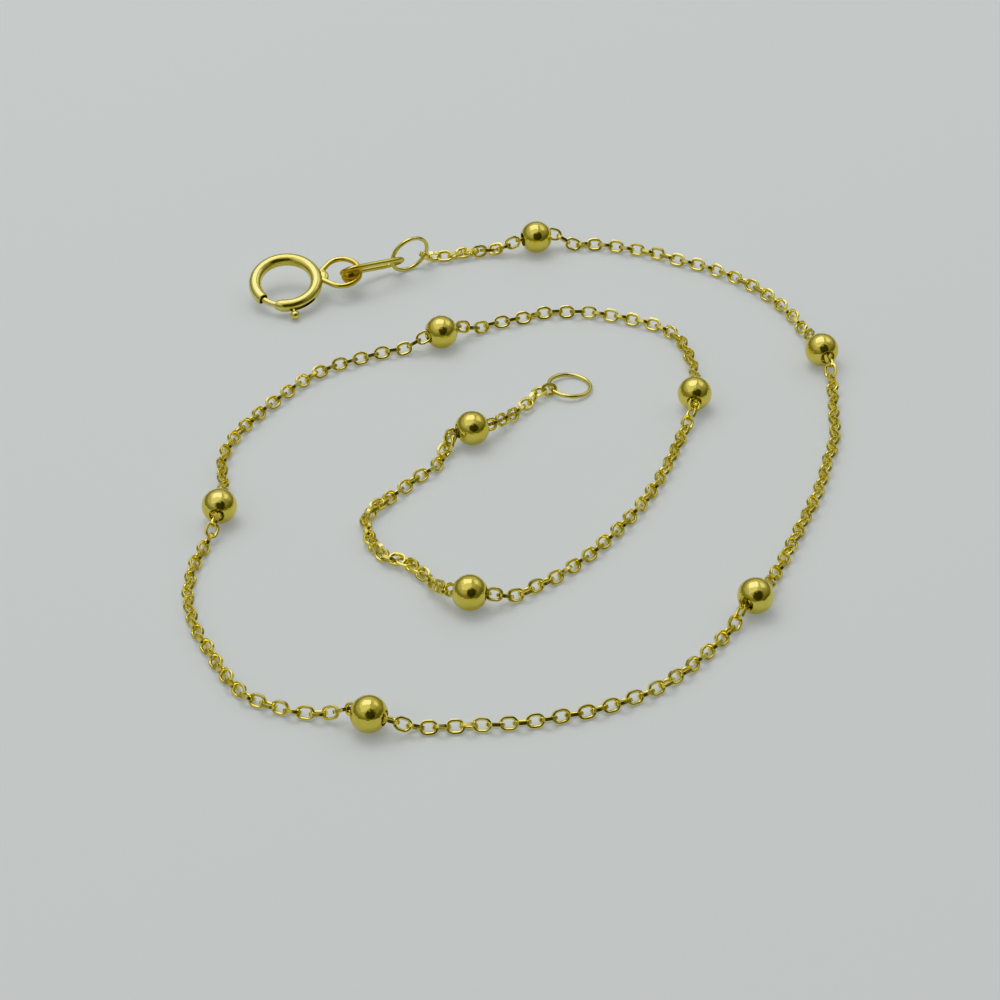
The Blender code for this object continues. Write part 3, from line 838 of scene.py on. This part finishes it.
def mouth_radii(points, start, at_mouth, further_in):
    """Radii along the ring's tube, which is drawn in at its mouth.

    A path that starts just before the mouth keeps the mouth's radius up to it.
    """
    radii = []
    for point in points:
        past = (math.degrees(math.atan2(point.y, point.x)) - start) % 360.0
        share = min(past / MOUTH_TAPER, 1.0) if past < 360.0 - MOUTH_OVERRUN else 0.0
        radii.append(at_mouth + (further_in - at_mouth) * math.sin(share * math.pi / 2))
    return radii


def eye_path():
    """A drop: a round eye whose straight sides run together at the ring's centreline."""
    centre = way(EYE_ANGLE) * EYE_DISTANCE * MM
    side = 90.0 + math.degrees(math.asin(EYE_CENTRELINE / (EYE_DISTANCE - RING_CENTRELINE)))
    round_part = arc(EYE_CENTRELINE * MM, EYE_ANGLE - side, EYE_ANGLE + side, EYE_STEPS)
    neck = way(EYE_ANGLE) * RING_CENTRELINE * MM
    upper_arm = [neck.lerp(centre + round_part[-1], share) for share in reversed(EYE_ARM_SHARES)]
    lower_arm = [neck.lerp(centre + round_part[0], share) for share in EYE_ARM_SHARES]
    return [neck] + lower_arm + [centre + point for point in round_part] + upper_arm


def add_clasp_body(matrix):
    centreline = RING_CENTRELINE * MM
    tube_path = arc(centreline, OPENING_TO, OPENING_FROM + 360.0, CLASP_STEPS)
    tube_radii = mouth_radii(tube_path, OPENING_TO, MOUTH_OUTER / 2 * MM, RING_TUBE / 2 * MM)
    body = new_object("spring_ring", *swept(tube_path, False, tube_radii, round_section(CLASP_SIDES)))
    wire_path = eye_path()
    eye_radii = [EYE_WIRE / 2 * MM] * len(wire_path)
    put_together(body, new_object("eye", *swept(wire_path, True, eye_radii, round_section(EYE_SIDES))))
    turn = Matrix.Rotation(math.radians(EYE_ANGLE), 4, "Z")
    solder_place = way(EYE_ANGLE) * RING_OUTER / 2 * MM
    put_together(body, ball("solder", 1.0, solder_place, Vector(SOLDER_HALF_SIZES) * MM, turn))
    one_skin(body, CLASP_VOXEL_MM, CLASP_SMOOTHING)

    hollow = arc(centreline, OPENING_TO - BORE_OVERRUN, OPENING_FROM + 360.0 + BORE_OVERRUN, CLASP_STEPS)
    bore_radii = mouth_radii(hollow, OPENING_TO, MOUTH_BORE / 2 * MM, RING_BORE / 2 * MM)
    cut_away(body, new_object("bore", *swept(hollow, False, bore_radii, round_section(BORE_SIDES))))
    cut_away(body, slot_cutter())
    settle(body, matrix, 1 / MM, "anklet", "clasp_body", ring_gold)


def slot_cutter():
    """A slab that sweeps round the clasp's axis, along the tube's lower outer side."""
    margin = math.degrees((STEM_DIAMETER / 2 + SLOT_CLEARANCE) / RING_CENTRELINE)
    start = KNOB_ANGLE - margin
    stop = KNOB_ANGLE + GATE_TRAVEL + margin
    half_width = (STEM_DIAMETER / 2 + SLOT_CLEARANCE) * MM
    drop = math.radians(KNOB_DROP)
    vertices = []
    for i in range(SLOT_STEPS + 1):
        spoke = way(start + (stop - start) * i / SLOT_STEPS)
        out = spoke * math.cos(drop) - Vector((0, 0, math.sin(drop)))
        side = spoke * math.sin(drop) + Vector((0, 0, math.cos(drop)))
        middle = spoke * RING_CENTRELINE * MM
        for reach, across in ((0.0, -1), (1.0, -1), (1.0, 1), (0.0, 1)):
            vertices.append(middle + out * reach * RING_TUBE * MM + side * across * half_width)
    faces = [(0, 1, 2, 3), tuple(4 * SLOT_STEPS + corner for corner in (3, 2, 1, 0))]
    for i in range(SLOT_STEPS):
        for corner in range(4):
            after = (corner + 1) % 4
            faces.append((4 * i + corner, 4 * i + 4 + corner, 4 * i + 4 + after, 4 * i + after))
    cutter = new_object("slot", vertices, faces)
    shape = bmesh.new()
    shape.from_mesh(cutter.data)
    bmesh.ops.recalc_face_normals(shape, faces=shape.faces)
    shape.to_mesh(cutter.data)
    shape.free()
    return cutter


def add_clasp_gate(matrix):
    path = arc(RING_CENTRELINE * MM, OPENING_FROM - GATE_TIP_OVERLAP, GATE_TAIL, GATE_STEPS)
    radii = [GATE_WIRE / 2 * MM] * len(path)
    gate = new_object("gate_wire", *swept(path, False, radii, round_section(GATE_SIDES)))
    out = knob_way()
    root = knob_root() * MM
    turn = out.to_track_quat("Z", "Y").to_matrix().to_4x4()
    bpy.ops.mesh.primitive_cylinder_add(
        vertices=GATE_SIDES, radius=STEM_DIAMETER / 2 * MM, depth=KNOB_REACH * MM
    )
    stem = bpy.context.object
    stem.data.transform(Matrix.Translation(root + out * KNOB_REACH / 2 * MM) @ turn)
    put_together(gate, stem)
    knob_place = root + out * KNOB_REACH * MM
    put_together(gate, ball("knob", KNOB_DIAMETER / 2 * MM, knob_place, (1.0, 1.0, KNOB_HEIGHT_SHARE), turn))
    settle(gate, matrix, 1 / MM, "gate", "clasp_gate", worn_gold)


# Stage

def add_floor():
    half = FLOOR_SIZE / 2
    corners = [(-half, -half, 0.0), (half, -half, 0.0), (half, half, 0.0), (-half, half, 0.0)]
    floor = new_object("floor", corners, [(0, 1, 2, 3)])
    floor.data.materials.append(floor_material())


def add_softboxes():
    for number, (low, high, radiance) in enumerate(SOFTBOXES, start=1):
        lamp = bpy.data.lights.new(f"softbox_{number}", "AREA")
        lamp.shape = "RECTANGLE"
        lamp.size = high[0] - low[0]
        lamp.size_y = high[1] - low[1]
        lamp.energy = radiance * math.pi * lamp.size * lamp.size_y
        lamp.color = SOFTBOX_TINT
        box = bpy.data.objects.new(f"softbox_{number}", lamp)
        box.location = ((low[0] + high[0]) / 2, (low[1] + high[1]) / 2, SOFTBOX_HEIGHT)
        bpy.context.scene.collection.objects.link(box)


def add_room():
    """A pale room, lighter towards the ceiling, with the darker and lighter parts of it."""
    world = bpy.data.worlds.new("room")
    bpy.context.scene.world = world
    world.use_nodes = True
    nodes = world.node_tree.nodes
    links = world.node_tree.links
    where = nodes.new("ShaderNodeTexCoord")
    split = nodes.new("ShaderNodeSeparateXYZ")
    links.new(where.outputs["Generated"], split.inputs["Vector"])
    climb = nodes.new("ShaderNodeValToRGB")
    while len(climb.color_ramp.elements) < len(ROOM_LIGHT):
        climb.color_ramp.elements.new(0.5)
    for element, (height, light) in zip(climb.color_ramp.elements, ROOM_LIGHT):
        element.position = height
        element.color = (light, light, light, 1.0)
    links.new(split.outputs["Z"], climb.inputs["Fac"])
    strength = None
    for towards, core, edge, light in ROOM_PARTS:
        dot = nodes.new("ShaderNodeVectorMath")
        dot.operation = "DOT_PRODUCT"
        dot.inputs[1].default_value = Vector(towards).normalized()
        links.new(where.outputs["Generated"], dot.inputs[0])
        part = nodes.new("ShaderNodeMapRange")
        part.interpolation_type = "SMOOTHSTEP"
        part.inputs["From Min"].default_value = math.cos(math.radians(edge))
        part.inputs["From Max"].default_value = math.cos(math.radians(core))
        part.inputs["To Min"].default_value = 1.0
        part.inputs["To Max"].default_value = light
        links.new(dot.outputs["Value"], part.inputs["Value"])
        if strength is None:
            strength = part.outputs["Result"]
        else:
            product = nodes.new("ShaderNodeMath")
            product.operation = "MULTIPLY"
            links.new(strength, product.inputs[0])
            links.new(part.outputs["Result"], product.inputs[1])
            strength = product.outputs["Value"]
    links.new(strength, nodes["Background"].inputs["Strength"])
    links.new(climb.outputs["Color"], nodes["Background"].inputs["Color"])


def add_camera():
    pitch = math.radians(CAMERA_PITCH)
    roll = math.radians(CAMERA_ROLL)
    right = Vector((1, 0, 0))
    forward = Vector((0, math.cos(pitch), -math.sin(pitch)))
    up = Vector((0, math.sin(pitch), math.cos(pitch)))
    across = right * math.cos(roll) + up * math.sin(roll)
    upward = up * math.cos(roll) - right * math.sin(roll)
    lens = bpy.data.cameras.new("camera")
    lens.sensor_width = SENSOR
    lens.lens = CAMERA_LENS
    lens.clip_start = CAMERA_NEAR
    camera = bpy.data.objects.new("camera", lens)
    turn = Matrix((across, upward, -forward)).transposed().to_4x4()
    camera.matrix_world = Matrix.Translation(CAMERA_PLACE) @ turn
    bpy.context.scene.collection.objects.link(camera)
    bpy.context.scene.camera = camera


clasp_matrix, oval_matrix = clasp_and_oval_matrices()
polished_gold = metal("polished_gold", *POLISHED_GOLD)
chain_gold = metal("chain_gold", *CHAIN_GOLD)
ring_gold = metal("ring_gold", *RING_GOLD)
worn_gold = metal("worn_gold", *WORN_GOLD)
# The ring gold gets orange-brown painted shade round the oval link's solder lump
add_painted_shade_round_lump(ring_gold, oval_matrix)

add_camera()
add_floor()
add_room()
add_softboxes()
bpy.context.scene.view_settings.view_transform = "Khronos PBR Neutral"

add_chain()
for number, (place_xy, angle) in enumerate(BEADS, start=1):
    add_bead(number, place_xy, angle)
add_ring("standing_ring", "jump_ring", jump_ring_matrix(), JUMP_CENTRELINE, JUMP_WIRE, JUMP_SEAM_ANGLE)
add_ring(
    "lying_ring", "end_ring", end_ring_matrix(), END_RING_CENTRELINE, END_RING_WIRE, END_RING_SEAM_ANGLE
)
add_oval_link(oval_matrix)
add_clasp_body(clasp_matrix)
add_clasp_gate(clasp_matrix)
